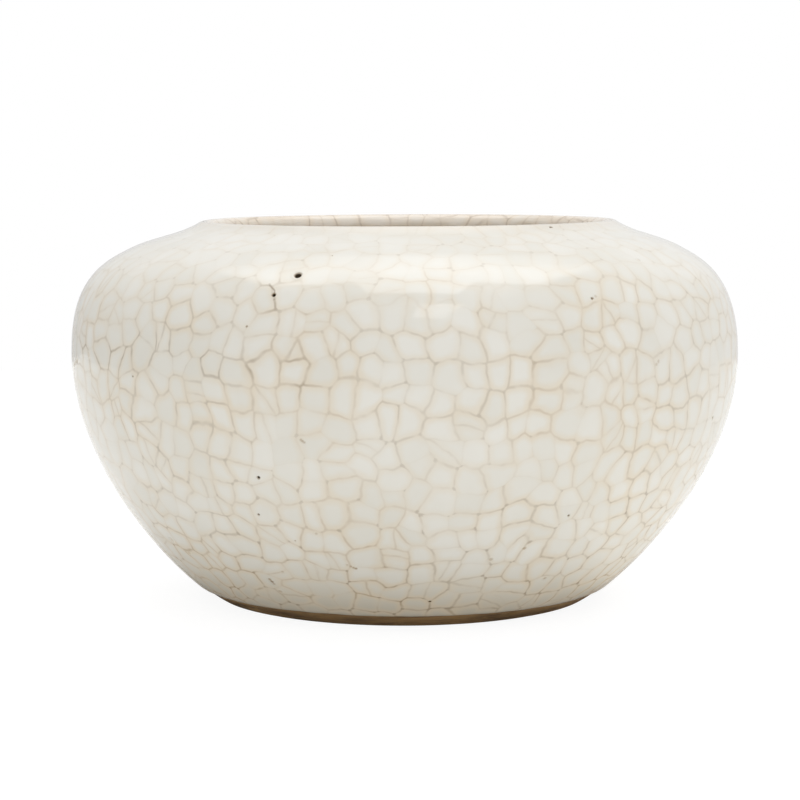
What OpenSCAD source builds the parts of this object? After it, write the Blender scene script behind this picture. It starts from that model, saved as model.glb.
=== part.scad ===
// Chinese water coupe: a squat stoneware water pot for a writing desk, under a crackled white glaze.
// Millimetres, Z up. The origin is the middle of the foot ring, on the table.
// The clay is one thrown and turned body. Every coat on it is an even layer over the clay's own skin.

/* [Clay body] */
// Height of the clay from the table to the top of the lip
body_h = 67.6; // [64:0.2:74]
// Diameter of the clay at the widest part of the belly
belly_d = 119; // [114:0.5:130]
// Height of the widest part above the table
belly_z = 44.5; // [41:0.5:47]
// How far the lower wall stays upright below the belly
wall_reach = 22; // [16:0.5:26]
// How far the shoulder stays upright above the belly
shoulder_reach = 13.6; // [9:0.2:15]
// Diameter where the rounded shoulder passes into the flatter top
shoulder_d = 99; // [90:0.5:104]
// Depth of that place below the top of the lip
shoulder_drop = 4.8; // [3.5:0.1:7]
// Slope of the top at that place, in degrees
shoulder_slope = 28; // [20:1:34]
// How tightly the shoulder rounds into that place
shoulder_turn = 4.3; // [2:0.1:8]

/* [Lip] */
// Diameter across the lip, from crest to crest
lip_d = 73.8; // [66:0.2:80]
// Slope at which the top runs up to the lip, in degrees
lip_slope = 32; // [22:1:45]
// Thickness of the clay behind the lip
lip_t = 2.8; // [2.4:0.1:3.4]
// Radius of the lip's outer edge
lip_edge_r = 0.7; // [0.5:0.1:1]
// Radius at which the lip rolls over to the inside
lip_roll_r = 1.5; // [1.1:0.1:1.8]
// Height of the upright face under that roll
lip_face = 0.3; // [0.2:0.1:0.6]

/* [Wall and floor] */
// Thickness of the clay at the belly and shoulder
wall_t = 3.2; // [2.4:0.1:4.5]
// Thickness that the wall grows towards at the foot
foot_wall_t = 8; // [6:0.5:9]
// Thickness of the floor over the recessed base
floor_t = 5.5; // [4.5:0.5:8]
// Height above the floor at which the inside wall starts to turn into it
floor_turn = 3; // [2.5:0.5:6]

/* [Foot] */
// Diameter of the foot at its outer edge on the table
foot_d = 65.2; // [60:0.2:72]
// Slope at which the wall leaves the table, in degrees
foot_slope = 22.5; // [18:0.5:34]
// How far the wall keeps to that slope
foot_reach = 6.6; // [4:0.2:9]
// Width of the ring that stands on the table
foot_ring_w = 4.6; // [3.5:0.2:7]
// Depth of the recess that is turned inside the ring
recess_depth = 2.6; // [1.8:0.2:3.6]
// Slope of the ring's inner side, in degrees from upright
recess_draft = 25; // [0:1:40]
// Bevel that is turned on the ring's inner edge
ring_bevel = 0.5; // [0.3:0.1:0.8]

/* [Coats] */
// Thickness of the glaze
glaze_t = 0.5; // [0.35:0.05:0.9]
// Height above the table at which the outer glaze ends
glaze_line = 2.7; // [2:0.1:5]
// Length over which the glaze swells to its full thickness above that line
glaze_roll = 1.2; // [0.6:0.1:2.5]
// Thickness of the iron-brown slip on the bare foot
slip_t = 0.2; // [0.12:0.02:0.3]
// Height of bare clay left between the table and the slip
slip_clear = 0.4; // [0.35:0.05:0.8]
// Width of bare clay left round the glaze under the base
base_margin = 1.2; // [0.6:0.1:3]

/* [Hidden] */
// Sides of every round form
$fn = 144;

foot_r = foot_d / 2;
ring_inner_r = foot_r - foot_ring_w;
recess_r = ring_inner_r - recess_depth * tan(recess_draft);
floor_z = recess_depth + floor_t;

// Plane geometry: x is the distance from the axis and y is the height
function heading(angle) = [cos(angle), sin(angle)];
function unit(v) = v / norm(v);
function right_of(v) = [v[1], -v[0]];
function mix(a, b, t) = a + (b - a) * t;
function ease(t) = t * t * (3 - 2 * t);
function tail(list) = [for (i = [1:len(list) - 1]) list[i]];
function part_of(list, from, to) = [for (i = [from:to]) list[i]];
function back(list) = [for (i = [len(list) - 1:-1:0]) list[i]];

// A cubic curve through four control points, and its direction
function point(c, t) =
    c[0] * pow(1 - t, 3) + c[1] * 3 * t * pow(1 - t, 2) + c[2] * 3 * t * t * (1 - t) + c[3] * pow(t, 3);
function along(c, t) =
    (c[1] - c[0]) * 3 * pow(1 - t, 2) + (c[2] - c[1]) * 6 * t * (1 - t) + (c[3] - c[2]) * 3 * t * t;
function points(c, from, to, steps) = [for (i = [0:steps]) point(c, mix(from, to, i / steps))];
function outward(c, t) = right_of(unit(along(c, t)));

// The clay's outside: a lower wall, a rounded shoulder and a short flare that lifts to the lip
foot_edge = [foot_r, 0];
belly = [belly_d / 2, belly_z];
shoulder = [shoulder_d / 2, body_h - shoulder_drop];
lip_centre = [lip_d / 2, body_h - lip_edge_r];
lip_start = lip_centre + heading(90 - lip_slope) * lip_edge_r;
shoulder_run = heading(180 - shoulder_slope);
flare_handle = norm(lip_start - shoulder) / 3;
lower_wall = [
    foot_edge,
    foot_edge + heading(foot_slope) * foot_reach,
    belly - [0, wall_reach],
    belly
];
upper_wall = [
    belly,
    belly + [0, shoulder_reach],
    shoulder - shoulder_run * shoulder_turn,
    shoulder
];
flare = [
    shoulder,
    shoulder + shoulder_run * flare_handle,
    lip_start - heading(180 - lip_slope) * flare_handle,
    lip_start
];

// Where the lower wall passes a height, found by halving
function wall_at(z, low = 0, high = 1, halvings = 24) =
    halvings == 0 ? (low + high) / 2
    : point(lower_wall, (low + high) / 2)[1] < z ? wall_at(z, (low + high) / 2, high, halvings - 1)
    : wall_at(z, low, (low + high) / 2, halvings - 1);
slip_from = wall_at(slip_clear);
line_at = wall_at(glaze_line);
roll_to = line_at + glaze_roll / norm(along(lower_wall, line_at));

// The clay's inside keeps the wall's thickness: it thins a little to the lip and thickens to the foot
function lower_inside(t) =
    point(lower_wall, t) - outward(lower_wall, t) * mix(wall_t, foot_wall_t, pow(1 - t, 2));
function upper_inside(t) = point(upper_wall, t) - outward(upper_wall, t) * wall_t;
function flare_inside(t) = point(flare, t) - outward(flare, t) * mix(wall_t, lip_t, ease(t));
function inside_at(z, low = 0, high = 1, halvings = 24) =
    halvings == 0 ? (low + high) / 2
    : lower_inside((low + high) / 2)[1] < z ? inside_at(z, (low + high) / 2, high, halvings - 1)
    : inside_at(z, low, (low + high) / 2, halvings - 1);
heel_at = inside_at(floor_z + floor_turn);
heel = lower_inside(heel_at);

// The lip rolls over to a short upright face, which turns under and joins the inside of the flare part of the way down
lip_join = 0.72;
roll_centre = [lip_d / 2, body_h - lip_roll_r];
face_foot = roll_centre - [lip_roll_r, lip_face];
under_lip = flare_inside(lip_join);
under_run = unit(under_lip - flare_inside(lip_join + 0.01));
under_reach = norm(under_lip - face_foot) / 3;
lip_turn = [face_foot, face_foot - [0, lip_face], under_lip - under_run * under_reach, under_lip];

// The inside wall turns into the flat floor on a curve that is tangent to both
heel_run = unit(heel - lower_inside(heel_at + 0.01));
heel_reach = (heel[1] - floor_z) / -heel_run[1];
floor_corner = [heel[0] + heel_run[0] * heel_reach, floor_z];
floor_edge = floor_corner - [heel_reach, 0];
floor_curve = [heel, mix(heel, floor_corner, 2 / 3), mix(floor_edge, floor_corner, 2 / 3), floor_edge];

// Steps along each stretch of the skin
slip_steps = 4;
roll_steps = 5;
wall_steps = 14;
shoulder_steps = 12;
flare_steps = 6;
crest_steps = 3;
lip_steps = 7;
lip_turn_steps = 6;
floor_steps = 5;

// The clay's skin from the foot, up the outside, over the lip and down the inside to the middle of the floor
dressed_foot = points(lower_wall, slip_from, line_at, slip_steps);
rolled_edge = points(lower_wall, line_at, roll_to, roll_steps);
outside = concat(
    tail(points(lower_wall, roll_to, 1, wall_steps)),
    tail(points(upper_wall, 0, 1, shoulder_steps)),
    tail(points(flare, 0, 1, flare_steps)),
    [for (i = [1:crest_steps]) lip_centre + heading(90 - lip_slope * (1 - i / crest_steps)) * lip_edge_r]
);
inside = concat(
    [for (i = [1:lip_steps]) roll_centre + heading(90 + 90 * i / lip_steps) * lip_roll_r],
    points(lip_turn, 0, 1, lip_turn_steps),
    [for (i = [1:flare_steps]) flare_inside(lip_join * (1 - i / flare_steps))],
    [for (i = [1:shoulder_steps]) upper_inside(1 - i / shoulder_steps)],
    [for (i = [1:wall_steps]) lower_inside(mix(1, heel_at, i / wall_steps))],
    tail(points(floor_curve, 0, 1, floor_steps)),
    [[0, floor_z]]
);
skin = concat([foot_edge], dressed_foot, tail(rolled_edge), outside, inside);
slip_index = 1;
line_index = slip_index + slip_steps;
crest_index = line_index + roll_steps + len(outside);
floor_index = len(skin) - 1;

// A coat over the skin: each point moves out by its own thickness
function skin_out(i) = right_of(unit(skin[min(i + 1, floor_index)] - skin[max(i - 1, 0)]));
function coated(i, thickness) = skin[i] + skin_out(i) * thickness;
function roll_share(i) = sqrt(1 - pow(1 - min(1, (i - line_index) / roll_steps), 2));
function glazed(i) = coated(i, mix(slip_t, glaze_t, roll_share(i)));
function coat_outline(from, to, surface) = concat(part_of(skin, from, to), back(surface));

// The thrown body, with the foot ring and the recess turned into its underside
module clay_body() {
    underside = [
        [0, recess_depth],
        [recess_r, recess_depth],
        [ring_inner_r - ring_bevel * tan(recess_draft), ring_bevel],
        [ring_inner_r + ring_bevel, 0]
    ];
    color([0.78, 0.70, 0.58])
    rotate_extrude()
    polygon(concat(underside, skin));
}

// The coat outside, from its rolled edge above the foot to the crest of the lip
module outer_glaze() {
    surface = [for (i = [line_index:crest_index]) glazed(i)];
    color([0.90, 0.88, 0.83])
    rotate_extrude()
    polygon(coat_outline(line_index, crest_index, surface));
}

// The coat inside, from the crest of the lip to the middle of the floor
module inner_glaze() {
    surface = [for (i = [crest_index:floor_index]) glazed(i)];
    color([0.86, 0.83, 0.77])
    rotate_extrude()
    polygon(coat_outline(crest_index, floor_index, surface));
}

// The round patch of glaze on the recessed base, thinned at its edge
module base_glaze() {
    patch_r = recess_r - base_margin;
    color([0.88, 0.86, 0.80])
    rotate_extrude()
    polygon([
        [0, recess_depth],
        [patch_r, recess_depth],
        [patch_r - glaze_t, recess_depth - glaze_t * 0.7],
        [patch_r - 3 * glaze_t, recess_depth - glaze_t],
        [0, recess_depth - glaze_t]
    ]);
}

// The brown slip on the bare clay between the table and the glaze
module foot_slip() {
    surface = [for (i = [slip_index:line_index]) coated(i, slip_t)];
    color([0.31, 0.22, 0.13])
    rotate_extrude()
    polygon(coat_outline(slip_index, line_index, surface));
}

clay_body();
outer_glaze();
inner_glaze();
base_glaze();
foot_slip();
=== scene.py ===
# A water coupe for a writing desk: a squat thrown pot under a crackled white glaze.
# Metres, Z up. The foot ring stands on the floor round the origin.
import math

import bpy
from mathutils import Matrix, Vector, kdtree, noise


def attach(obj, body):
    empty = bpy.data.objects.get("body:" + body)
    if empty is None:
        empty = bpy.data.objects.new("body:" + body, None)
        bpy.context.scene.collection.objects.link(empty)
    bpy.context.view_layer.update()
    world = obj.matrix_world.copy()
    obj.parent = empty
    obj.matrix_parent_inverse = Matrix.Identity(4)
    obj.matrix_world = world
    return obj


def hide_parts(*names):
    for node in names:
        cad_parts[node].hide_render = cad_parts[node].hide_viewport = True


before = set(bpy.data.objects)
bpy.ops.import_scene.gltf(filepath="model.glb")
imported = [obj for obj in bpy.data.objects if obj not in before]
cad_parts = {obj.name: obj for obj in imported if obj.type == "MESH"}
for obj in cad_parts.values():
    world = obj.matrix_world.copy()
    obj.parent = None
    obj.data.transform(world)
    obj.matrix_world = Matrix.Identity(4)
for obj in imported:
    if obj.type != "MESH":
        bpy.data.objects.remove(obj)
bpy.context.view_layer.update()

# Viewpoint: a long lens in front of the pot, a little above the lip and tilted down to it,
# so that the mouth closes to a thin slot and the belly fills the frame.
camera_back = 0.43784
camera_height = 0.081085
camera_down = 5.9663
camera_aside = 0.1056
camera_lens = 108.7
camera_film = 36
nearest_seen = 0.01
bpy.ops.object.select_all(action="DESELECT")
bpy.ops.object.camera_add(
    location=(0, -camera_back, camera_height),
    rotation=(math.radians(90 - camera_down), 0, math.radians(camera_aside)),
)
camera = bpy.context.object
camera.data.sensor_width = camera_film
camera.data.lens = camera_lens
camera.data.clip_start = nearest_seen
bpy.context.scene.camera = camera

# Clay body: buff stoneware, thrown on the wheel as one piece with a closed-in shoulder. The foot ring
# and the recess under it are turned when the clay is leather hard. Only the foot stays bare of glaze.
# Its sizes are in millimetres, and a point of its profile is (distance from the axis, height).
mm = 0.001
wheel_steps = 320
foot_edge = Vector((32.6, 0.0))
foot_lean = 22.5
foot_pull = 6.6
belly = Vector((59.5, 44.5))
belly_pull_down = 22
belly_pull_up = 13.6
shoulder = Vector((49.5, 62.8))
shoulder_lean = 152
shoulder_pull = 4.3
lip_edge = 0.7
lip_roll = 1.5
lip_centre = Vector((36.9, 66.9))
roll_centre = Vector((36.9, 66.1))
lip_slope = 32
lip_face = 0.3
lip_thick = 2.8
wall_thick = 3.2
foot_thick = 8.0
floor_height = 8.1
recess_height = 2.6
base_patch = 25.59

# Places along a curve of the profile, as shares of it
wall_start_at = 0.012
glaze_line_at = 0.16895
glaze_roll_at = 0.2001
heel_at = 0.32093
lip_join_at = 0.72
small_step = 0.01
base_rows = 30
glaze_edge_rows = 6


def heading(degrees):
    return Vector((math.cos(math.radians(degrees)), math.sin(math.radians(degrees))))


def on_curve(curve, t):
    a, b, c, d = curve
    u = 1 - t
    return a * u ** 3 + b * (3 * t * u * u) + c * (3 * t * t * u) + d * t ** 3


def outward(curve, t):
    a, b, c, d = curve
    u = 1 - t
    along = (b - a) * (u * u) + (c - b) * (2 * t * u) + (d - c) * (t * t)
    return Vector((along.y, -along.x)).normalized()


def spread(start, end, steps):
    return [start + (end - start) * (i + 1) / steps for i in range(steps)]


lip_start = lip_centre + heading(90 - lip_slope) * lip_edge
flare_pull = (lip_start - shoulder).length / 3
lower_wall = (
    foot_edge,
    foot_edge + heading(foot_lean) * foot_pull,
    belly - Vector((0, belly_pull_down)),
    belly,
)
upper_wall = (
    belly,
    belly + Vector((0, belly_pull_up)),
    shoulder - heading(shoulder_lean) * shoulder_pull,
    shoulder,
)
flare = (
    shoulder,
    shoulder + heading(shoulder_lean) * flare_pull,
    lip_start - heading(180 - lip_slope) * flare_pull,
    lip_start,
)

# Fingers leave shallow rings on the inside as the wall is drawn up, and a few on the floor
ring_depth = 0.09
stray_ring_depth = 0.04
stray_ring_pace = 1.7
wall_rings = 7.5
shoulder_rings = 3.2
floor_ring_depth = 0.05
floor_rings = 4.5


def finger_ring(turns):
    angle = 2 * math.pi * turns
    return ring_depth * math.sin(angle) + stray_ring_depth * math.sin(angle * stray_ring_pace + 1)


def wall_inside(t):
    thick = wall_thick + (foot_thick - wall_thick) * (1 - t) ** 2 + finger_ring(t * wall_rings)
    return on_curve(lower_wall, t) - outward(lower_wall, t) * thick


def shoulder_inside(t):
    thick = wall_thick + finger_ring(wall_rings + t * shoulder_rings) * (1 - t)
    return on_curve(upper_wall, t) - outward(upper_wall, t) * thick


def flare_inside(t):
    thick = wall_thick + (lip_thick - wall_thick) * t * t * (3 - 2 * t)
    return on_curve(flare, t) - outward(flare, t) * thick


# Underneath: the recess with its turning marks, then its corner, the bevel and the worn face of the ring
turning_depth = 0.05
turning_pitch = 3.3
turning_start = 8
ring_face = (
    (26.3, 2.6), (26.65, 2.5), (26.86, 2.25), (27.2, 1.55), (27.55, 0.8), (27.75, 0.4),
    (27.95, 0.16), (28.3, 0.03), (28.9, 0.0), (29.6, 0.03), (30.2, 0.0), (30.9, 0.02),
    (31.5, 0.0), (32.1, 0.0), (32.5, 0.05), (32.85, 0.15),
)
underside = [Vector((0, recess_height))]
for r in spread(0, base_patch, base_rows):
    mark = turning_depth * math.sin(2 * math.pi * r / turning_pitch) * min(1, r / turning_start)
    underside.append(Vector((r, recess_height - mark)))
underside += [Vector(point) for point in ring_face]

# Up the outside, over the lip, down the inside and across the floor
skin = [on_curve(lower_wall, t) for t in spread(wall_start_at, glaze_line_at, steps=12)]
glaze_line_row = len(underside) + len(skin) - 1
skin += [on_curve(lower_wall, t) for t in spread(glaze_line_at, glaze_roll_at, glaze_edge_rows)]
skin += [on_curve(lower_wall, t) for t in spread(glaze_roll_at, 1, steps=56)]
skin += [on_curve(upper_wall, t) for t in spread(0, 1, steps=26)]
skin += [on_curve(flare, t) for t in spread(0, 1, steps=15)]
skin += [lip_centre + heading(angle) * lip_edge for angle in spread(90 - lip_slope, 90, steps=7)]
crest_row = len(underside) + len(skin) - 1
skin += [roll_centre + heading(angle) * lip_roll for angle in spread(90, 180, steps=11)]
face_foot = roll_centre - Vector((lip_roll, lip_face))
under_lip = flare_inside(lip_join_at)
under_run = (under_lip - flare_inside(lip_join_at + small_step)).normalized()
under_pull = (under_lip - face_foot).length / 3
lip_turn = (face_foot, face_foot - Vector((0, lip_face)), under_lip - under_run * under_pull, under_lip)
skin += [face_foot]
skin += [on_curve(lip_turn, t) for t in spread(0, 1, steps=11)]
skin += [flare_inside(lip_join_at * (1 - t)) for t in spread(0, 1, steps=10)]
skin += [shoulder_inside(1 - t) for t in spread(0, 1, steps=24)]
skin += [wall_inside(1 - t) for t in spread(0, 1 - heel_at, steps=46)]
heel = skin[-1]
heel_run = (heel - skin[-2]).normalized()
heel_reach = (heel.y - floor_height) / -heel_run.y
corner = Vector((heel.x + heel_run.x * heel_reach, floor_height))
floor_edge = corner - Vector((heel_reach, 0))
floor_turn = (heel, heel.lerp(corner, 2 / 3), floor_edge.lerp(corner, 2 / 3), floor_edge)
skin += [on_curve(floor_turn, t) for t in spread(0, 1, steps=9)]
for t in spread(0, 1, steps=14):
    mark = floor_ring_depth * math.sin(2 * math.pi * t * floor_rings) * (1 - t)
    skin.append(Vector((floor_edge.x * (1 - t), floor_height + mark)))
profile = underside + skin
run = [0.0]
for here, there in zip(profile, profile[1:]):
    run.append(run[-1] + (there - here).length)
base_run = run[base_rows]
glaze_line_run = run[glaze_line_row]
crest_run = run[crest_row]


def apply_all(piece):
    for modifier in list(piece.modifiers):
        bpy.ops.object.modifier_apply(modifier=modifier.name)


# The profile is drawn point by point and turned once round the wheel. The hand's marks fade out
# towards the foot, which is turned true, and towards the lip.
weld = 0.001 * mm
mark_start = 3
mark_fade = 12
lip_mark = 0.15
bpy.ops.object.select_all(action="DESELECT")
bpy.ops.mesh.primitive_plane_add(size=mm)
body = bpy.context.object
body.name = "coupe_body"
bpy.ops.object.mode_set(mode="EDIT")
bpy.ops.mesh.merge(type="CENTER")
bpy.ops.transform.translate(value=(profile[0].x * mm, 0, profile[0].y * mm))
for here, there in zip(profile, profile[1:]):
    step = (there - here) * mm
    bpy.ops.mesh.extrude_region_move(TRANSFORM_OT_translate={"value": (step.x, 0, step.y)})
bpy.ops.object.mode_set(mode="OBJECT")
body.data.attributes.new("run", "FLOAT", "POINT")
hand_marks = body.vertex_groups.new(name="hand_marks")
for vertex in body.data.vertices:
    place = Vector((vertex.co.x, vertex.co.z)) / mm
    row = min(range(len(profile)), key=lambda i: (profile[i] - place).length_squared)
    body.data.attributes["run"].data[vertex.index].value = run[row]
    from_foot = min(1, max(0, (run[row] - glaze_line_run + mark_start) / mark_fade))
    from_lip = min(1, lip_mark + abs(run[row] - crest_run) / mark_fade)
    hand_marks.add([vertex.index], from_foot * from_lip, "REPLACE")
wheel = body.modifiers.new("wheel", "SCREW")
wheel.axis = "Z"
wheel.angle = 2 * math.pi
wheel.steps = wheel.render_steps = wheel_steps
wheel.use_merge_vertices = True
wheel.merge_threshold = weld
apply_all(body)
bpy.ops.object.mode_set(mode="EDIT")
bpy.ops.mesh.select_all(action="SELECT")
bpy.ops.mesh.remove_doubles(threshold=weld)
bpy.ops.mesh.normals_make_consistent(inside=False)
bpy.ops.object.mode_set(mode="OBJECT")

# The wall is a little uneven under the hand, and the whole pot slumped slightly in the kiln
for name, size, depth in (("broad_swell", 26, 0.30), ("short_swell", 11, 0.07)):
    swell = bpy.data.textures.new(name, "CLOUDS")
    swell.noise_scale = size * mm
    swell.noise_depth = 0
    uneven = body.modifiers.new(name, "DISPLACE")
    uneven.texture = swell
    uneven.texture_coords = "LOCAL"
    uneven.strength = depth * mm
    uneven.mid_level = 0.5
    uneven.vertex_group = "hand_marks"
apply_all(body)
slump_wide = 140
slump_tall = 70
slump_aside = (-0.33, -0.25, -0.05, 0, 0, 0.1, 0.7)
slump_lift = (0, 0, 0, 0, 0, 0.1, 0.32)
bpy.ops.object.add(type="LATTICE", location=(0, 0, slump_tall / 2 * mm))
kiln_slump = bpy.context.object
kiln_slump.scale = (slump_wide * mm, slump_wide * mm, slump_tall * mm)
kiln_slump.data.points_u = kiln_slump.data.points_v = 2
kiln_slump.data.points_w = len(slump_aside)
kiln_slump.data.interpolation_type_u = kiln_slump.data.interpolation_type_v = "KEY_LINEAR"
kiln_slump.data.interpolation_type_w = "KEY_CARDINAL"
corners = 4
for index, point in enumerate(kiln_slump.data.points):
    level = index // corners
    lift = slump_lift[level] * (1 if point.co.x > 0 else -1)
    point.co_deform = point.co + Vector((slump_aside[level] / slump_wide, 0, lift / slump_tall))
bpy.context.view_layer.update()
bpy.ops.object.select_all(action="DESELECT")
bpy.context.view_layer.objects.active = body
body.select_set(True)
body.modifiers.new("kiln_slump", "LATTICE").object = kiln_slump
apply_all(body)
bpy.data.objects.remove(kiln_slump)


# A node with its settings, and values or links on its inputs
def put(tree, kind, values=None, **settings):
    made = tree.nodes.new(kind)
    for key, value in settings.items():
        setattr(made, key, value)
    for socket, value in (values or {}).items():
        if isinstance(value, bpy.types.NodeSocket):
            tree.links.new(value, made.inputs[socket])
        else:
            made.inputs[socket].default_value = value
    return made


def number(tree, operation, *terms):
    return put(tree, "ShaderNodeMath", dict(enumerate(terms)), operation=operation).outputs[0]


# A value eased from one range to another, and held at the ends
def scaled(tree, value, old_range, new_range):
    low, high = old_range
    to_low, to_high = new_range
    terms = {"Value": value, "From Min": low, "From Max": high, "To Min": to_low, "To Max": to_high}
    return put(tree, "ShaderNodeMapRange", terms, interpolation_type="SMOOTHSTEP").outputs["Result"]


def blend(tree, share, first, second):
    return put(tree, "ShaderNodeMix", {0: share, 6: first, 7: second}, data_type="RGBA").outputs[2]


def mottle(tree, place, scale, detail, roughness=0.5, output="Fac"):
    values = {"Vector": place, "Scale": scale, "Detail": detail, "Roughness": roughness}
    return put(tree, "ShaderNodeTexNoise", values).outputs[output]


def relief(tree, surface, height, strength, depth):
    values = {"Strength": strength, "Distance": depth, "Height": height}
    tree.links.new(put(tree, "ShaderNodeBump", values).outputs["Normal"], surface.inputs["Normal"])


def finish_named(name):
    finish = bpy.data.materials.new(name)
    finish.use_nodes = True
    tree = finish.node_tree
    return finish, tree, tree.nodes["Principled BSDF"]


# Bare stoneware: buff-grey with iron specks, and gritty to the touch
dark_clay = (0.36, 0.27, 0.18, 1)
pale_clay = (0.47, 0.38, 0.27, 1)
iron_speck = (0.12, 0.075, 0.04, 1)
bare_clay, tree, surface = finish_named("bare_stoneware")
place = put(tree, "ShaderNodeTexCoord").outputs["Object"]
body_tone = mottle(tree, place, scale=180, detail=4)
clay_colour = blend(tree, scaled(tree, body_tone, (0.3, 0.7), (0, 1)), dark_clay, pale_clay)
speck = put(tree, "ShaderNodeTexVoronoi", {"Vector": place, "Scale": 900}).outputs["Distance"]
clay_colour = blend(tree, scaled(tree, speck, (0.12, 0.22), (0.8, 0)), clay_colour, iron_speck)
tree.links.new(clay_colour, surface.inputs["Base Color"])
grit = mottle(tree, place, scale=2600, detail=3)
relief(tree, surface, grit, strength=0.35, depth=0.1 * mm)
surface.inputs["Roughness"].default_value = 0.85
body.data.materials.append(bare_clay)

# A finished piece is smoothed over its gentle turns and handed to the frame
crease = math.radians(40)


def settle(piece, node):
    bpy.ops.object.select_all(action="DESELECT")
    bpy.context.view_layer.objects.active = piece
    piece.select_set(True)
    bpy.ops.object.shade_smooth_by_angle(angle=crease)
    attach(piece, "root")
    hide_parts(node)


# A coat over the clay's own skin, between two distances along the profile. Its thickness may vary
# by a share of the whole at each distance, and its vertices may be moved before it is thickened.
def coat_from_body(name, first, last, thickness, share=None, edge=None):
    slack = 0.001
    bpy.ops.object.select_all(action="DESELECT")
    bpy.context.view_layer.objects.active = body
    body.select_set(True)
    bpy.ops.object.mode_set(mode="EDIT")
    bpy.ops.mesh.select_mode(type="FACE")
    bpy.ops.mesh.select_all(action="DESELECT")
    bpy.ops.object.mode_set(mode="OBJECT")
    along = [0.0] * len(body.data.vertices)
    body.data.attributes["run"].data.foreach_get("value", along)
    for face in body.data.polygons:
        face.select = all(first - slack < along[v] < last + slack for v in face.vertices)
    bpy.ops.object.mode_set(mode="EDIT")
    bpy.ops.mesh.duplicate()
    bpy.ops.mesh.separate(type="SELECTED")
    bpy.ops.object.mode_set(mode="OBJECT")
    coat = [o for o in bpy.context.selected_objects if o is not body][0]
    coat.name = name
    coat.data.materials.clear()
    coat.vertex_groups.clear()
    bpy.ops.object.select_all(action="DESELECT")
    bpy.context.view_layer.objects.active = coat
    coat.select_set(True)
    rows = {}
    along = [0.0] * len(coat.data.vertices)
    coat.data.attributes["run"].data.foreach_get("value", along)
    for vertex, distance in enumerate(along):
        rows.setdefault(round(distance, 4), []).append(vertex)
    if edge:
        for distance, members in rows.items():
            for vertex in members:
                edge(coat.data.vertices[vertex], distance)
    weights = coat.vertex_groups.new(name="coat")
    for distance, members in rows.items():
        weights.add(members, share(distance) if share else 1.0, "REPLACE")
    layer = coat.modifiers.new("coat", "SOLIDIFY")
    layer.thickness = thickness * mm
    layer.offset = 1
    layer.use_even_offset = True
    layer.vertex_group = "coat"
    apply_all(coat)
    coat.vertex_groups.clear()
    return coat


# Foot slip: an iron-brown wash brushed on the bare clay between the table and the glaze, where it has
# soaked in and fired to a dry, streaky brown. It runs on a little way under the edge of the glaze.
slip_thick = 0.16
rows_above_table = 2
rows_under_glaze = 4
slip_first = run[len(underside) + rows_above_table]
slip_last = run[glaze_line_row + rows_under_glaze]
dark_wash = (0.131, 0.074, 0.028, 1)
pale_wash = (0.36, 0.217, 0.088, 1)
dry_wash = (0.41, 0.262, 0.118, 1)
brush_stroke = (90, 90, 1500)
slip = coat_from_body("slip_foot", slip_first, slip_last, slip_thick)
wash, tree, surface = finish_named("iron_wash")
place = put(tree, "ShaderNodeTexCoord").outputs["Object"]
drawn = put(tree, "ShaderNodeMapping", {"Vector": place, "Scale": brush_stroke}).outputs["Vector"]
streak = mottle(tree, drawn, scale=1, detail=5, roughness=0.65)
blot = mottle(tree, place, scale=320, detail=4, roughness=0.65)
wash_colour = blend(tree, scaled(tree, streak, (0.32, 0.68), (0, 1)), dark_wash, pale_wash)
wash_colour = blend(tree, scaled(tree, blot, (0.5, 0.72), (0, 0.6)), wash_colour, dry_wash)
tree.links.new(wash_colour, surface.inputs["Base Color"])
tree.links.new(scaled(tree, blot, (0.3, 0.7), (0.55, 0.8)), surface.inputs["Roughness"])
relief(tree, surface, streak, strength=0.5, depth=0.15 * mm)
slip.data.materials.append(wash)
settle(slip, "foot_slip")

# Outer glaze: a milky white glaze that shrank more than the clay as it cooled, so it is cracked all over
# into small plates. Tea and ink have stained the cracks tan. It ends in a thick wavy roll above the foot.
glaze_thick = 0.5
plate_size = 4.15
crack_half_width = 0.35
halo_half_width = 1.45
knot_half_width = 0.62
long_crack_strength = 0.92
split_strength = 0.6
split_plates = 0.14
pair_shuffle = 7.13
split_shuffle = 5.7
lean_turns = 6
crackle = bpy.data.node_groups.new("glaze_crackle", "ShaderNodeTree")
crackle.interface.new_socket("Place", in_out="INPUT", socket_type="NodeSocketVector")
for label in ("Run", "Plate Size", "Shift"):
    crackle.interface.new_socket(label, in_out="INPUT", socket_type="NodeSocketFloat")
for label in ("Crack", "Halo", "Plate", "Knot"):
    crackle.interface.new_socket(label, in_out="OUTPUT", socket_type="NodeSocketFloat")


def arrow(tree, operation, *terms):
    sockets = (0, 3) if operation == "SCALE" else (0, 1, 2)
    made = put(tree, "ShaderNodeVectorMath", dict(zip(sockets, terms)), operation=operation)
    return made.outputs["Value" if operation in ("DOT_PRODUCT", "LENGTH", "DISTANCE") else "Vector"]


def triple(tree, x, y, z):
    return put(tree, "ShaderNodeCombineXYZ", {0: x, 1: y, 2: z}).outputs[0]


def parts(tree, vector):
    return put(tree, "ShaderNodeSeparateXYZ", {0: vector}).outputs


def chosen(tree, share, first, second):
    return put(tree, "ShaderNodeMix", {0: share, 4: first, 5: second}, data_type="VECTOR").outputs[1]


def cloudy(tree, vector, wave, offset=(0, 0, 0), output="Fac", detail=1):
    return mottle(tree, arrow(tree, "ADD", vector, offset), scale=1 / wave, detail=detail, output=output)


# A stray to every side of a noise's middle colour, which changes over the given wave
middle = (0.5, 0.5, 0.5)


def stray(tree, vector, wave, reach):
    centred = arrow(tree, "SUBTRACT", cloudy(tree, vector, wave, output="Color"), middle)
    return arrow(tree, "SCALE", centred, reach)


# The turn round the axis, from the front of the pot
def turn_at(tree, x, y):
    return number(tree, "ARCTAN2", x, number(tree, "MULTIPLY", y, -1))


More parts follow.
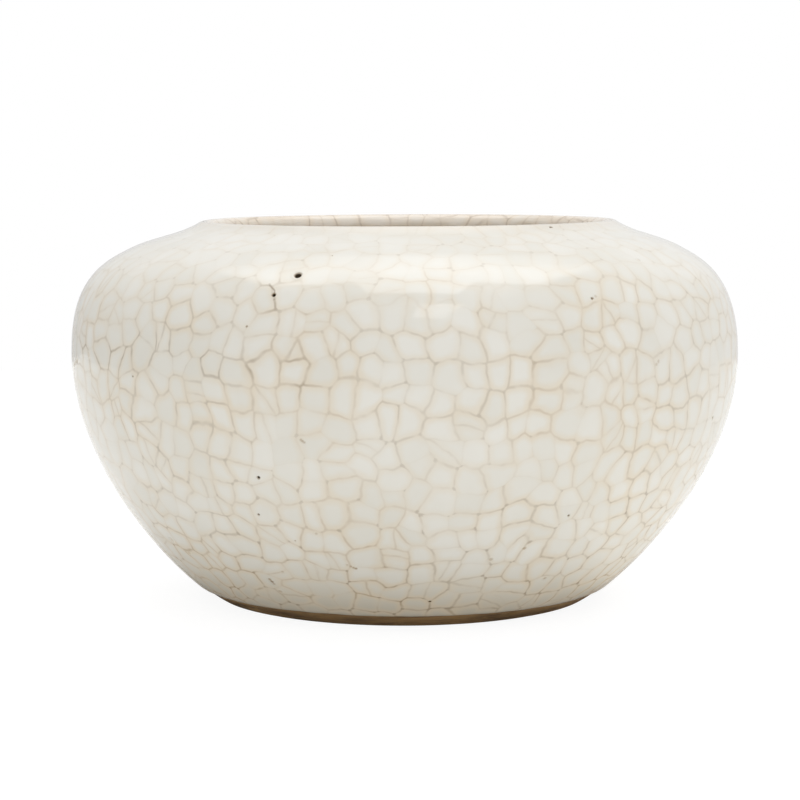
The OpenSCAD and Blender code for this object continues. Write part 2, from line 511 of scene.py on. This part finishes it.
# The girth of the pot, as a radius, at a share of the way along its profile
def girth_at(tree, share_of_run):
    first_row = 24
    row_step = 6
    girth = put(tree, "ShaderNodeFloatCurve", {"Value": share_of_run})
    points = girth.mapping.curves[0].points
    points[0].location = (0.0, 0.0)
    points[1].location = (1.0, 0.0)
    for row in range(first_row, len(profile) - 1, row_step):
        points.new(run[row] / run[-1], profile[row].x / belly.x)
    for point in points:
        point.handle_type = "VECTOR"
    girth.mapping.update()
    return number(tree, "MULTIPLY", girth.outputs[0], belly.x)


given = crackle.nodes.new("NodeGroupInput").outputs
put_out = crackle.nodes.new("NodeGroupOutput").inputs
size = given["Plate Size"]
spot = arrow(crackle, "SCALE", given["Place"], 1 / mm)
x, y = parts(crackle, spot)[:2]
shift = triple(crackle, given["Shift"], given["Shift"], given["Shift"])
moved = arrow(crackle, "ADD", spot, shift)
wander = stray(crackle, moved, wave=11, reach=5)
tremble = stray(crackle, moved, wave=2.2, reach=0.8)
wobble = parts(crackle, arrow(crackle, "ADD", wander, tremble))
radius = arrow(crackle, "LENGTH", triple(crackle, x, y, 0))
least_radius = 6
swing = number(crackle, "DIVIDE", wobble[0], number(crackle, "MAXIMUM", radius, least_radius))
turn = number(crackle, "ADD", turn_at(crackle, x, y), swing)
along = number(crackle, "ADD", given["Run"], wobble[1])

# Plates lie in rings up the wall, as many in a ring as its girth holds, each round a seed off its place.
# A coarser grid that strays over the wall puts each plate in a block with its neighbours.
seed_room = (0.56, 0.6, 0)
seed_margin = (0.22, 0.2, 0)
block_wide = math.pi / 13
block_tall = 11
block_stray = 3
block_ring = 45
plates = []
row = number(crackle, "FLOOR", number(crackle, "DIVIDE", along, size))
for up in (-1, 0, 1):
    band = number(crackle, "ADD", row, up)
    band_middle = number(crackle, "MULTIPLY", number(crackle, "ADD", band, 0.5), size)
    girth = girth_at(crackle, number(crackle, "DIVIDE", band_middle, run[-1]))
    around = number(crackle, "MULTIPLY", girth, 2 * math.pi)
    count = number(crackle, "ROUND", number(crackle, "DIVIDE", around, size))
    count = number(crackle, "MAXIMUM", count, 1)
    pitch = number(crackle, "DIVIDE", 2 * math.pi, count)
    column = number(crackle, "FLOOR", number(crackle, "DIVIDE", turn, pitch))
    for over in (-1, 0, 1):
        cell = number(crackle, "ADD", column, over)
        label = triple(crackle, number(crackle, "FLOORED_MODULO", cell, count), band, given["Shift"])
        seed = put(crackle, "ShaderNodeTexWhiteNoise", {"Vector": label}).outputs["Color"]
        off = parts(crackle, arrow(crackle, "MULTIPLY_ADD", seed, seed_room, seed_margin))
        seed_turn = number(crackle, "MULTIPLY", number(crackle, "ADD", cell, off[0]), pitch)
        seed_along = number(crackle, "MULTIPLY", number(crackle, "ADD", band, off[1]), size)
        apart = number(crackle, "MULTIPLY", number(crackle, "SUBTRACT", turn, seed_turn), radius)
        away = triple(crackle, apart, number(crackle, "SUBTRACT", along, seed_along), 0)
        cosine = number(crackle, "COSINE", seed_turn)
        sine = number(crackle, "SINE", seed_turn)
        ring = arrow(crackle, "SCALE", triple(crackle, cosine, sine, 0), block_ring)
        on_wall = arrow(crackle, "ADD", ring, triple(crackle, 0, 0, seed_along))
        drift = arrow(crackle, "SCALE", cloudy(crackle, on_wall, wave=24, output="Color"), block_stray)
        block_turn = number(crackle, "DIVIDE", seed_turn, block_wide)
        block = triple(crackle, block_turn, number(crackle, "DIVIDE", seed_along, block_tall), 0)
        block = arrow(crackle, "FLOOR", arrow(crackle, "ADD", block, drift))
        block = arrow(crackle, "MULTIPLY", block, (1, 1, 0))
        plates.append((away, seed, block))
near, near_seed, near_block = plates[0]
near_length = arrow(crackle, "LENGTH", near)
for away, seed, block in plates[1:]:
    length = arrow(crackle, "LENGTH", away)
    closer = number(crackle, "LESS_THAN", length, near_length)
    near = chosen(crackle, closer, near, away)
    near_seed = chosen(crackle, closer, near_seed, seed)
    near_block = chosen(crackle, closer, near_block, block)
    near_length = number(crackle, "MINIMUM", near_length, length)
tint = parts(crackle, near_seed)

# A crack runs half way between the nearest seed and each of the others. The first cracks to open are
# the long ones that part the glaze into blocks, so they are the strongest. The rest have their own strength.
patchy = scaled(crackle, cloudy(crackle, moved, wave=14, offset=(9, 2, 5), detail=2), (0.3, 0.7), (0.45, 1))
fitful = scaled(crackle, cloudy(crackle, moved, wave=2.3, offset=(71, 13, 37)), (0.3, 0.65), (0.3, 1.1))
clear = 1.0
glow = 1.0
first_line = 0.0
second_line = 0.0
hardly_apart = 0.001
out_of_reach = 100


def draw_crack(clear, glow, gap, strength):
    line = number(crackle, "MULTIPLY", scaled(crackle, gap, (0, crack_half_width), (1, 0)), strength)
    soft = number(crackle, "MULTIPLY", scaled(crackle, gap, (0, halo_half_width), (1, 0)), strength)
    clear = number(crackle, "MULTIPLY", clear, number(crackle, "SUBTRACT", 1, line))
    glow = number(crackle, "MULTIPLY", glow, number(crackle, "SUBTRACT", 1, soft))
    return clear, glow


for away, seed, block in plates:
    between = arrow(crackle, "SUBTRACT", away, near)
    across = arrow(crackle, "NORMALIZE", between)
    gap = arrow(crackle, "DOT_PRODUCT", arrow(crackle, "ADD", away, near), across)
    itself = number(crackle, "LESS_THAN", arrow(crackle, "LENGTH", between), hardly_apart)
    gap = number(crackle, "MULTIPLY", gap, 0.5)
    gap = number(crackle, "MULTIPLY_ADD", itself, out_of_reach, gap)
    pair = number(crackle, "ADD", parts(crackle, seed)[2], tint[2])
    pair = number(crackle, "FRACT", number(crackle, "MULTIPLY", pair, pair_shuffle))
    long_crack = number(crackle, "GREATER_THAN", arrow(crackle, "DISTANCE", block, near_block), 0.5)
    long_crack = number(crackle, "MULTIPLY", long_crack, long_crack_strength)
    strength = number(crackle, "MAXIMUM", scaled(crackle, pair, (0, 0.7), (0.12, 0.85)), long_crack)
    clear, glow = draw_crack(clear, glow, gap, strength)
    beside = number(crackle, "MULTIPLY", scaled(crackle, gap, (0, knot_half_width), (1, 0)), strength)
    second_line = number(crackle, "MAXIMUM", second_line, number(crackle, "MINIMUM", first_line, beside))
    first_line = number(crackle, "MAXIMUM", first_line, beside)

# Some plates are cracked again across the middle
lean = number(crackle, "MULTIPLY", tint[0], lean_turns * 2 * math.pi)
aim = triple(crackle, number(crackle, "COSINE", lean), number(crackle, "SINE", lean), 0)
gap = number(crackle, "ABSOLUTE", arrow(crackle, "DOT_PRODUCT", near, aim))
split = number(crackle, "FRACT", number(crackle, "MULTIPLY", tint[1], split_shuffle))
split = number(crackle, "LESS_THAN", split, split_plates)
clear, glow = draw_crack(clear, glow, gap, number(crackle, "MULTIPLY", split, split_strength))

# Dirt gathers in dots at some of the places where two cracks meet
meeting = scaled(crackle, second_line, (0.2, 0.75), (0, 1))
dirt = scaled(crackle, cloudy(crackle, moved, wave=3.5, offset=(17, 41, 5)), (0.45, 0.6), (0, 1))
cracked = number(crackle, "SUBTRACT", 1, clear)
haloed = number(crackle, "SUBTRACT", 1, glow)
uneven = number(crackle, "MULTIPLY", patchy, fitful)
crackle.links.new(number(crackle, "MULTIPLY", cracked, uneven), put_out["Crack"])
crackle.links.new(number(crackle, "MULTIPLY", haloed, patchy), put_out["Halo"])
crackle.links.new(tint[2], put_out["Plate"])
crackle.links.new(number(crackle, "MULTIPLY", meeting, dirt), put_out["Knot"])


# Ink lies along a line of marks on the wall, and soaks the cracks as far as its reach on both sides
def inked(tree, colour, ink_tone, crack, place, along, stains):
    x, y = parts(tree, arrow(tree, "SCALE", place, 1 / mm))[:2]
    shake = mottle(tree, place, scale=500, detail=2, output="Color")
    shake = arrow(tree, "SCALE", arrow(tree, "SUBTRACT", shake, middle), 0.9)
    spot = triple(tree, number(tree, "MULTIPLY", turn_at(tree, x, y), belly.x), along, 0)
    spot = arrow(tree, "ADD", spot, shake)
    for marks, reach, soaked, ink_share in stains:
        gap = out_of_reach
        for here, there in zip(marks, marks[1:]):
            step = Vector((there[0] - here[0], there[1] - here[1], 0))
            away = arrow(tree, "SUBTRACT", spot, (here[0], here[1], 0))
            share = arrow(tree, "DOT_PRODUCT", away, step / step.length_squared)
            share = put(tree, "ShaderNodeClamp", {"Value": share}).outputs[0]
            from_step = arrow(tree, "DISTANCE", away, arrow(tree, "SCALE", step, share))
            gap = number(tree, "MINIMUM", gap, from_step)
        zone = number(tree, "MULTIPLY", crack, scaled(tree, gap, (0, reach), (soaked, 0)))
        colour = blend(tree, zone, colour, ink_tone)
        colour = blend(tree, scaled(tree, gap, (0.02, 0.3), (ink_share, 0)), colour, ink_tone)
    return colour


# The same glaze on each part of the pot, with its own tones. The clay shows through where the glaze is thin:
# above the foot and on the lip. The throat under the lip is darkened with painted shade, where the inside
# lies in shade under it.
foot_blush = (0.53, 0.46, 0.33, 1)
lip_blush = (0.62, 0.53, 0.44, 1)
# Painted shade for the throat under the lip
throat_painted_shade = (0.55, 0.475, 0.345, 1)
foot_crack_tone = (0.3, 0.195, 0.09, 1)
pit_rim_tone = (0.27, 0.16, 0.055, 1)
# Nearly black: painted shade at the bottom of a pinhole
pit_shade_colour = (0.03, 0.021, 0.012, 1)


def white_glaze(name, tones, crack_share, top_share, shift=0, stains=()):
    finish, tree, surface = finish_named(name)
    place = put(tree, "ShaderNodeTexCoord").outputs["Object"]
    along = put(tree, "ShaderNodeAttribute", attribute_name="run").outputs["Fac"]
    layout = {"Place": place, "Run": along, "Plate Size": plate_size, "Shift": shift}
    cracks = put(tree, "ShaderNodeGroup", layout, node_tree=crackle).outputs
    past_line = number(tree, "SUBTRACT", along, glaze_line_run)
    past_crest = number(tree, "SUBTRACT", along, crest_run)
    from_line = number(tree, "ABSOLUTE", past_line)
    from_crest = number(tree, "ABSOLUTE", past_crest)

    # Depth of the coat: each plate has its own tone, over a slow change across the pot
    cloud = scaled(tree, mottle(tree, place, scale=55, detail=3), (0.3, 0.7), (0, 0.5))
    depth = number(tree, "MULTIPLY_ADD", cracks["Plate"], 0.5, cloud)
    colour = blend(tree, depth, tones["thin"], tones["thick"])
    near_foot = scaled(tree, from_line, (0, 17), (0.5, 0))
    colour = blend(tree, near_foot, colour, foot_blush)
    near_crest = scaled(tree, from_crest, (0.3, 3.5), (0.28, 0))
    colour = blend(tree, near_crest, colour, lip_blush)
    # Painted shade: the throat under the lip darkens from a wavy edge down, and less so deeper in the bowl
    wavy_inside = number(tree, "MULTIPLY_ADD", mottle(tree, place, scale=170, detail=1), 2.4, past_crest)
    throat_start = scaled(tree, wavy_inside, (3.0, 3.7), (0, 0.4))
    throat_end = scaled(tree, wavy_inside, (5, 14), (1, 0.2))
    colour = blend(tree, number(tree, "MULTIPLY", throat_start, throat_end), colour, throat_painted_shade)

    # Cracks: a tan halo, the line itself and the dirt at the knots. They fade out on the shoulder: a painted
    # sheen, standing in for the soft box's reflection over them.
    sheen_fade = scaled(tree, parts(tree, place)[2], (0.054, 0.064), (1, top_share))
    halo_by_foot = scaled(tree, from_line, (0, 30), (1.1, 0.75))
    halo = number(tree, "MULTIPLY", cracks["Halo"], number(tree, "MULTIPLY", halo_by_foot, sheen_fade))
    colour = blend(tree, halo, colour, tones["halo"])
    crack_low_down = scaled(tree, from_line, (2, 32), (1.75, 0.88))
    crack_at_edge = scaled(tree, from_line, (0, 12), (0.7, 1))
    strong = number(tree, "MULTIPLY", crack_at_edge, number(tree, "MULTIPLY", crack_low_down, sheen_fade))
    strong = number(tree, "MULTIPLY", strong, crack_share)
    stained = scaled(tree, mottle(tree, place, scale=36, detail=2), (0.4, 0.65), (0, 1))
    line_tone = blend(tree, stained, tones["crack"], tones["stain"])
    tanned_by_foot = scaled(tree, from_line, (1, 22), (0.5, 0))
    line_tone = blend(tree, tanned_by_foot, line_tone, foot_crack_tone)
    colour = blend(tree, number(tree, "MULTIPLY", cracks["Crack"], strong), colour, line_tone)
    knot_by_foot = scaled(tree, from_line, (4, 50), (0.42, 0.16))
    colour = blend(tree, number(tree, "MULTIPLY", cracks["Knot"], knot_by_foot), colour, tones["stain"])
    if stains:
        colour = inked(tree, colour, tones["stain"], cracks["Crack"], place, along, stains)

    # Pinholes are brown at the rim and dull. Where a mark is dark, its middle goes nearly black: painted
    # shade in the pit.
    pinhole = put(tree, "ShaderNodeAttribute", attribute_name="pinhole").outputs["Fac"]
    pit_shade_share = scaled(tree, pinhole, (0.5, 0.95), (0, 1))
    pit_tone = blend(tree, pit_shade_share, pit_rim_tone, pit_shade_colour)
    pit_shine = scaled(tree, pinhole, (0, 0.6), (0.5, 0.05))
    pit_rough = scaled(tree, pinhole, (0, 0.6), (0, 0.8))
    crack_rough = scaled(tree, cracks["Crack"], (0, 1), (0.05, 0.25))
    rough = number(tree, "MAXIMUM", crack_rough, pit_rough)
    tree.links.new(blend(tree, pinhole, colour, pit_tone), surface.inputs["Base Color"])
    tree.links.new(pit_shine, surface.inputs["Specular IOR Level"])
    tree.links.new(rough, surface.inputs["Roughness"])

    # The gloss is a little rippled, with faint rings from the wheel
    wheel_ring = {"W": along, "Scale": 0.9, "Detail": 2}
    ring = put(tree, "ShaderNodeTexNoise", wheel_ring, noise_dimensions="1D").outputs["Fac"]
    ripple = number(tree, "MULTIPLY_ADD", ring, 0.35, mottle(tree, place, scale=260, detail=1))
    relief(tree, surface, ripple, strength=0.25, depth=0.1 * mm)
    surface.inputs["IOR"].default_value = 1.5
    return finish


# A quarter round, from the least share at the edge of a coat to the whole
def round_over(onto, least):
    short = 1 - min(1, max(0, onto))
    return least + (1 - least) * math.sqrt(1 - short ** 2)


def rolled_edge(distance):
    roll_run = run[glaze_line_row + glaze_edge_rows] - glaze_line_run
    return round_over((distance - glaze_line_run) / roll_run, least=0.42)


# The edge of the glaze creeps up and down the wall a little as it runs round the foot
edge_wave = 0.24
edge_ripple = 0.12
edge_reach = 4
edge_climb = math.radians(38)


def wavy_edge(vertex, distance):
    fade = max(0, 1 - (distance - glaze_line_run) / edge_reach)
    if fade > 0:
        across = math.hypot(vertex.co.x, vertex.co.y)
        aim = Vector((vertex.co.x / across, vertex.co.y / across, 0))
        wave = noise.noise(aim * 5 + Vector((3, 0, 0))) * edge_wave
        drift = wave + noise.noise(aim * 16) * edge_ripple
        up_wall = aim * math.cos(edge_climb) + Vector((0, 0, math.sin(edge_climb)))
        vertex.co += up_wall * (drift * fade * mm)


outside = coat_from_body("glaze_outside", glaze_line_run, crest_run, glaze_thick, rolled_edge, wavy_edge)

# Pinholes: gas broke through the molten glaze and left small dark craters with a faint raised rim.
# Each has its turn from the front in degrees, its height, radius and depth, and its darkness.
pits = (
    (-18.5, 60.75, 0.7, 0.42, 1), (-21.55, 57.7, 0.4, 0.32, 1), (-25.2, 52.7, 0.2, 0.14, 0.7),
    (-48.7, 43.4, 0.22, 0.14, 0.65), (31.9, 56.9, 0.28, 0.2, 0.75), (-13.9, 63.7, 0.17, 0.1, 0.75),
    (39.7, 67.7, 0.24, 0.12, 0.85), (40.2, 67.7, 0.22, 0.1, 0.8), (-24.6, 28.1, 0.32, 0.28, 1),
    (-26.5, 21.5, 0.24, 0.18, 0.85), (5.95, 5.8, 0.28, 0.2, 0.95), (30.7, 21.0, 0.26, 0.16, 0.8),
    (64.0, 35.0, 0.3, 0.22, 0.85), (112.0, 47.0, 0.4, 0.3, 1), (-131.0, 30.0, 0.3, 0.22, 0.85),
    (171.0, 58.0, 0.33, 0.26, 1),
)
# Specks are brown stains where a bubble closed again, so all are as shallow. Each has its turn, its height
# and radius, and its darkness.
speck_depth = 0.02
specks = (
    (32.7, 57.2, 0.28, 0.3), (49.1, 62.4, 0.32, 0.35), (-16.25, 34.85, 0.24, 0.45),
    (-16.0, 34.65, 0.26, 0.5), (-15.75, 34.45, 0.24, 0.45), (-30.65, 9.05, 0.38, 0.6),
    (-30.4, 8.65, 0.38, 0.7), (-30.25, 8.2, 0.3, 0.55), (-29.8, 6.7, 0.4, 0.4),
    (-11.4, 13.0, 0.22, 0.35), (-10.7, 12.75, 0.24, 0.45), (-10.2, 12.5, 0.28, 0.55),
    (-9.75, 12.35, 0.3, 0.65), (-20.65, 17.15, 0.2, 0.55), (-16.15, 18.65, 0.26, 0.35),
    (-26.2, 10.9, 0.28, 0.4), (23.6, 15.5, 0.36, 0.5), (17.15, 13.8, 0.4, 0.4),
    (32.3, 9.1, 0.34, 0.45), (-55.6, 14.05, 0.5, 0.4), (-51.9, 12.05, 0.42, 0.4),
    (-72.0, 44.1, 0.42, 0.45), (-73.6, 43.6, 0.42, 0.5), (-75.2, 43.2, 0.38, 0.45),
    (-64.4, 45.85, 0.4, 0.25), (44.0, 46.2, 0.3, 0.35), (43.5, 45.75, 0.3, 0.35),
)
marks = pits + tuple((turned, up, wide, speck_depth, dark) for turned, up, wide, dark in specks)
well_outside = 0.1
same_side = 0.5
crater_room = 1.1
crater_cuts = 7
rim_height = 0.05
rim_at = 1.3
rim_width = 0.25
shadow_edge = 1.05
shadow_fade = 0.35
face_tree = kdtree.KDTree(len(outside.data.polygons))
for face in outside.data.polygons:
    face.select = False
    face_tree.insert(face.center, face.index)
face_tree.balance()
craters = []
for turned, up, wide, deep, dark in marks:
    aim = Vector((math.sin(math.radians(turned)), -math.cos(math.radians(turned)), 0))
    spot, normal = outside.ray_cast(aim * well_outside + Vector((0, 0, up * mm)), -aim)[1:3]
    spot, normal = spot.copy(), normal.copy()
    craters.append((spot, normal, wide * mm, deep * mm, dark))
    for place, index, distance in face_tree.find_range(spot, (wide + crater_room) * mm):
        if outside.data.polygons[index].normal.dot(normal) > same_side:
            outside.data.polygons[index].select = True
bpy.ops.object.mode_set(mode="EDIT")
bpy.ops.mesh.subdivide(number_cuts=crater_cuts)
bpy.ops.object.mode_set(mode="OBJECT")
outside.data.attributes.new("pinhole", "FLOAT", "POINT")
vertex_tree = kdtree.KDTree(len(outside.data.vertices))
for vertex in outside.data.vertices:
    vertex_tree.insert(vertex.co, vertex.index)
vertex_tree.balance()
facing = [vertex.normal.copy() for vertex in outside.data.vertices]
for spot, normal, wide, deep, dark in craters:
    for place, index, distance in vertex_tree.find_range(spot, 2 * wide):
        if facing[index].dot(normal) > same_side:
            away = distance / wide
            rim = rim_height * mm * math.exp(-((away - rim_at) / rim_width) ** 2)
            outside.data.vertices[index].co += normal * (rim - deep * max(0, 1 - away ** 2))
            shadow = outside.data.attributes["pinhole"].data[index]
            inside_pit = min(1, max(0, (shadow_edge - away) / shadow_fade))
            shadow.value = max(shadow.value, dark * inside_pit)

# Ink has soaked into the cracks round a pinhole and in a belt round the left of the belly.
# Each stain is given by turn and height, and charted by distance round the belly and along the wall.
ink_run = ((-23.0, 59.0), (-21.55, 57.7), (-21.2, 56.6))
ink_trail = ((-21.2, 56.6), (-20.0, 54.1), (-18.9, 51.6), (-17.4, 47.6), (-15.9, 43.2))
ink_belt = ((-74, 45.4), (-59, 45.9), (-50, 47.2), (-41, 49.0), (-36.3, 48.1), (-30, 46.6), (-24.2, 47.0))


def chart(line):
    charted = []
    for turned, up in line:
        row = min(range(glaze_line_row, crest_row), key=lambda i: abs(profile[i].y - up))
        charted.append((math.radians(turned) * belly.x, run[row]))
    return charted


outside_tones = {
    "thin": (0.69, 0.668, 0.602, 1),
    "thick": (0.752, 0.734, 0.68, 1),
    "halo": (0.70, 0.61, 0.475, 1),
    "crack": (0.40, 0.28, 0.16, 1),
    "stain": (0.25, 0.19, 0.13, 1),
}
# For each stain: its line, how far it soaks the cracks, how strongly, and the ink left on the line itself
ink_stains = (
    (chart(ink_run), 3, 0.4, 0.65),
    (chart(ink_trail), 3.5, 0.28, 0),
    (chart(ink_belt), 5, 0.6, 0),
)
outside.data.materials.append(white_glaze(
    "white_glaze", outside_tones, crack_share=0.4, top_share=0.4, stains=ink_stains,
))
settle(outside, "outer_glaze")

# Inner glaze: the same glaze poured round the inside and out again. It lies over the finger rings,
# and it meets the outer coat on the crest of the lip.
# These tones are paler than the outer coat's: painted light, standing in for the light that bounces round
# inside the bowl
inside_lit_tones = {
    "thin": (0.80, 0.745, 0.66, 1),
    "thick": (0.84, 0.785, 0.70, 1),
    "halo": (0.75, 0.64, 0.51, 1),
    "crack": (0.31, 0.22, 0.145, 1),
    "stain": (0.23, 0.17, 0.12, 1),
}
inside = coat_from_body("glaze_inside", crest_run, run[-1], glaze_thick)
inside.data.materials.append(white_glaze("inner_white_glaze", inside_lit_tones, crack_share=0.55, top_share=1))
settle(inside, "inner_glaze")

# Base glaze: a round patch of the same glaze, brushed into the recess inside the foot ring
# and wiped back from the ring so that it doesn't stick to the kiln shelf.
base_tones = {
    "thin": (0.63, 0.61, 0.54, 1),
    "thick": (0.70, 0.685, 0.62, 1),
    "halo": (0.64, 0.54, 0.45, 1),
    "crack": (0.34, 0.23, 0.15, 1),
    "stain": (0.25, 0.18, 0.12, 1),
}
wiped_wide = 2.5


def wiped_edge(distance):
    return round_over((base_run - distance) / wiped_wide, least=0.1)


under = coat_from_body("glaze_base", 0, base_run, glaze_thick, wiped_edge)
under.data.materials.append(white_glaze(
    "base_white_glaze", base_tones, crack_share=0.34, top_share=1, shift=40,
))
settle(under, "base_glaze")
settle(body, "clay_body")

# Stage: a white table and a white surround, lit by one broad soft box overhead and two lamps in front.
# The camera sees the table white, and the pot's shadow stays on it.
table_wide = 0.88
table_white = (0.95, 0.95, 0.94, 1)
mirrored_shaded_white = (0.86, 0.86, 0.85, 1)
shadow_catch = (0.13, 0.13, 0.13, 1)
shown_white = 0.92
bpy.ops.object.select_all(action="DESELECT")
bpy.ops.mesh.primitive_plane_add(size=table_wide)
table = bpy.context.object
table.name = "white_table"
table_finish, tree, surface = finish_named("white_table")
tree.nodes.remove(surface)
seen = put(tree, "ShaderNodeLightPath").outputs
# The table is dimmer in the glaze's reflections than in the light it throws back: painted shade in those
# reflections
table_tone = blend(tree, seen["Is Glossy Ray"], table_white, mirrored_shaded_white)
lit = put(tree, "ShaderNodeBsdfDiffuse", {"Color": table_tone}).outputs[0]
shade = put(tree, "ShaderNodeBsdfDiffuse", {"Color": shadow_catch}).outputs[0]
white = put(tree, "ShaderNodeEmission", {"Color": (1, 1, 1, 1), "Strength": shown_white}).outputs[0]
bright = put(tree, "ShaderNodeAddShader", {0: shade, 1: white}).outputs[0]
shown = put(tree, "ShaderNodeMixShader", {0: seen["Is Camera Ray"], 1: lit, 2: bright}).outputs[0]
tree.links.new(shown, tree.nodes["Material Output"].inputs["Surface"])
table.data.materials.append(table_finish)

# The room is brighter to the right and overhead, and duller low down behind the pot, more so on the left
surround = bpy.data.worlds.new("white_surround")
bpy.context.scene.world = surround
surround.use_nodes = True
tree = surround.node_tree
seen = put(tree, "ShaderNodeLightPath").outputs
air = tree.nodes["Background"]
air.inputs["Color"].default_value = (1, 1, 1, 1)
x, y, z = parts(tree, put(tree, "ShaderNodeTexCoord").outputs["Generated"])[:3]
level = scaled(tree, z, (0.0, 0.7), (0.73, 0.83))
level = number(tree, "MULTIPLY_ADD", x, 0.12, level)
level = number(tree, "MULTIPLY_ADD", number(tree, "MULTIPLY", y, y), 0.1, level)
level = number(tree, "MULTIPLY_ADD", y, -0.02, level)
sideways = number(tree, "MULTIPLY", number(tree, "MULTIPLY", x, x), z)
level = number(tree, "MULTIPLY_ADD", sideways, -0.3, level)
low_down = scaled(tree, z, (-0.05, 0.22), (1, 0))
behind = number(tree, "MULTIPLY", scaled(tree, y, (0.2, 0.9), (0, 1)), low_down)
dull = number(tree, "MULTIPLY", behind, scaled(tree, x, (-0.5, 0.5), (0.13, 0.04)))
level = number(tree, "SUBTRACT", level, dull)

# The soft box has a sharp front edge with a little glow before it, and fades away towards the back
lowest = 0.05
height = number(tree, "MAXIMUM", z, lowest)
back = number(tree, "DIVIDE", y, height)
side = number(tree, "ABSOLUTE", number(tree, "DIVIDE", x, height))
edge_glow = scaled(tree, back, (-0.5, 0), (0, 0.6))
front_edge = scaled(tree, back, (-0.01, 0.03), (0, 1.5))
back_fade = scaled(tree, back, (0.2, 1.05), (1, 0))
side_edge = scaled(tree, side, (0.46, 0.58), (1, 0))
soft_box = number(tree, "MULTIPLY", number(tree, "ADD", edge_glow, front_edge), back_fade)
soft_box = number(tree, "MULTIPLY", soft_box, side_edge)
level = number(tree, "MAXIMUM", number(tree, "ADD", level, soft_box), seen["Is Camera Ray"])
tree.links.new(level, air.inputs["Strength"])

# Two lamps stand in front, and a card on the table throws light up under the right of the belly.
# Each has its place, tilt, width and depth in millimetres and degrees, and its brightness.
for name, place, tilt, wide, deep, glow in (
    ("front_box", (20, -150, 600), 0, 230, 200, 1.8),
    ("small_box", (125, -600, 600), 0, 150, 330, 1.7),
    ("table_card", (46, -20, 1), 180, 18, 76, 0.44),
):
    bpy.ops.object.light_add(type="AREA", location=Vector(place) * mm, rotation=(0, math.radians(tilt), 0))
    lamp = bpy.context.object
    lamp.name = name
    lamp.visible_camera = False
    lamp.visible_glossy = name != "table_card"
    lamp.data.shape = "RECTANGLE"
    lamp.data.size = wide * mm
    lamp.data.size_y = deep * mm
    lamp.data.energy = glow * math.pi * wide * deep * mm * mm

bpy.context.scene.view_settings.view_transform = "Standard"
